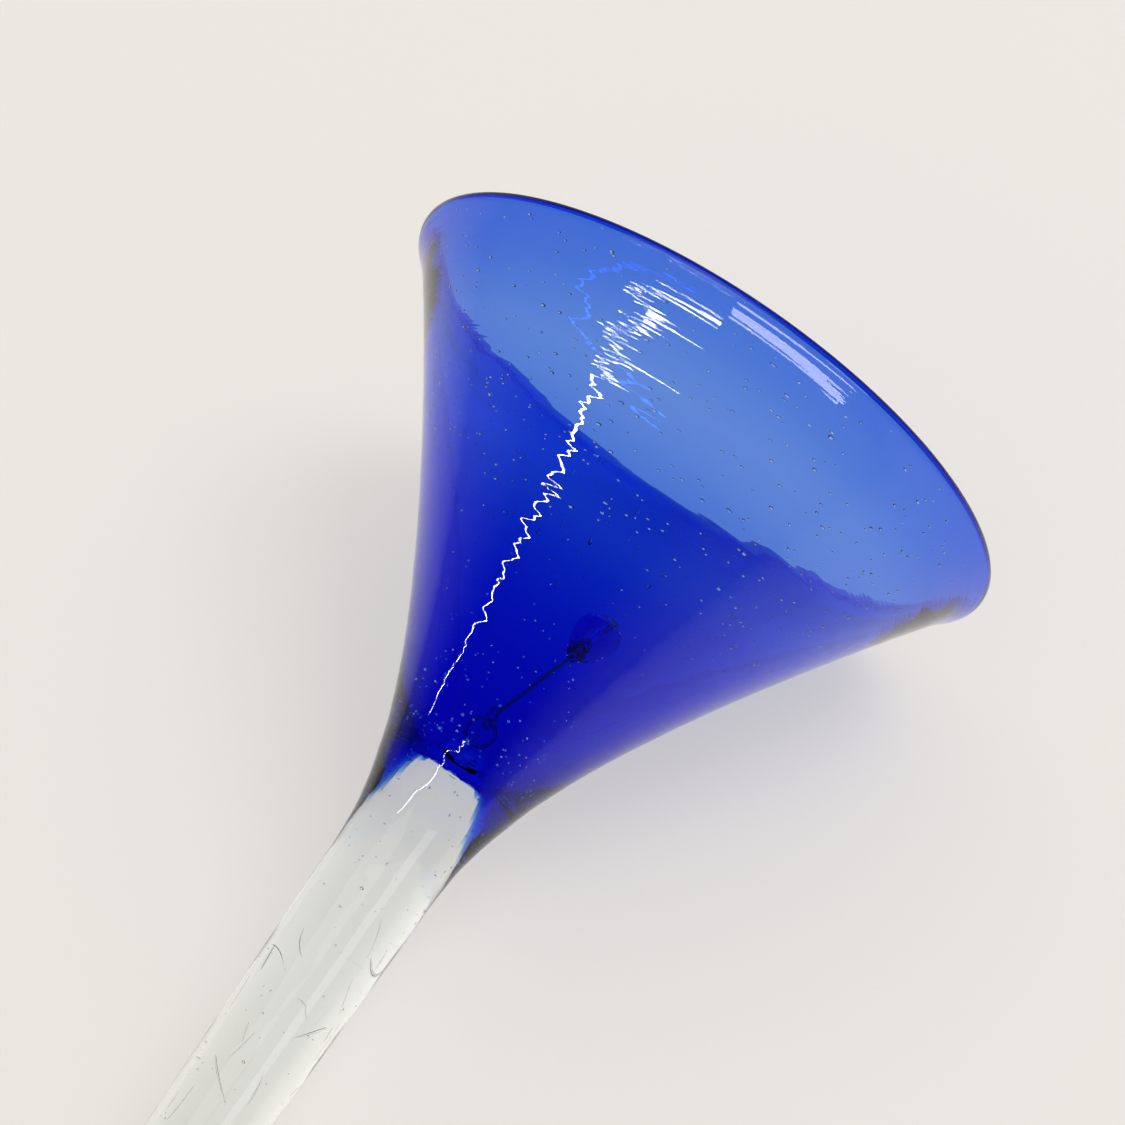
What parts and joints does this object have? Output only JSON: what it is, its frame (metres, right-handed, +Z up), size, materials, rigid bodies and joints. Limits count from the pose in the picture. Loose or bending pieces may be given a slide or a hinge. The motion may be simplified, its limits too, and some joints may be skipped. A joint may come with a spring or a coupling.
{
  "type": "hand bell",
  "caption": "Hand-blown cobalt glass table bell with a flared mouth, a solid clear glass handle and a small glass clapper on a wire.",
  "frame": {"origin": "centre of the box's base, on the table that the bell lies on", "axes": "+X along the bell's length, from the handle's end to the mouth; +Z up; the bell's own axis lies in XZ and rises towards the mouth"},
  "size_m": [0.179, 0.0904, 0.0877],
  "materials": {
    "cobalt_glass": "fire-polished, seedy, faintly ringed by hand",
    "clear_glass": "fire-polished with seeds and cords",
    "clapper_glass": "fire-polished",
    "steel_wire": "drawn, slightly dull"
  },
  "bodies": {
    "bell": {"bell_shell": "cobalt_glass", "handle_rod": "clear_glass", "end_pad": "clear_glass", "crown_eye": "clear_glass"},
    "link": {"link_ring": "steel_wire"},
    "clapper": {"clapper_wire": "steel_wire", "clapper_bead": "clapper_glass", "bead_stop": "steel_wire"}
  },
  "joints": [
    {"name": "clapper_swivel", "type": "hinge", "parent": "bell", "child": "link", "pos_m": [0.02836, 0, 0.03159], "axis": [0.9712, 0, 0.2382], "range_deg": [-40, 40]},
    {"name": "clapper_swing", "type": "hinge", "parent": "link", "child": "clapper", "pos_m": [0.02836, 0, 0.03159], "axis": [0, -1, 0], "range_deg": [0, 79.2]}
  ]
}
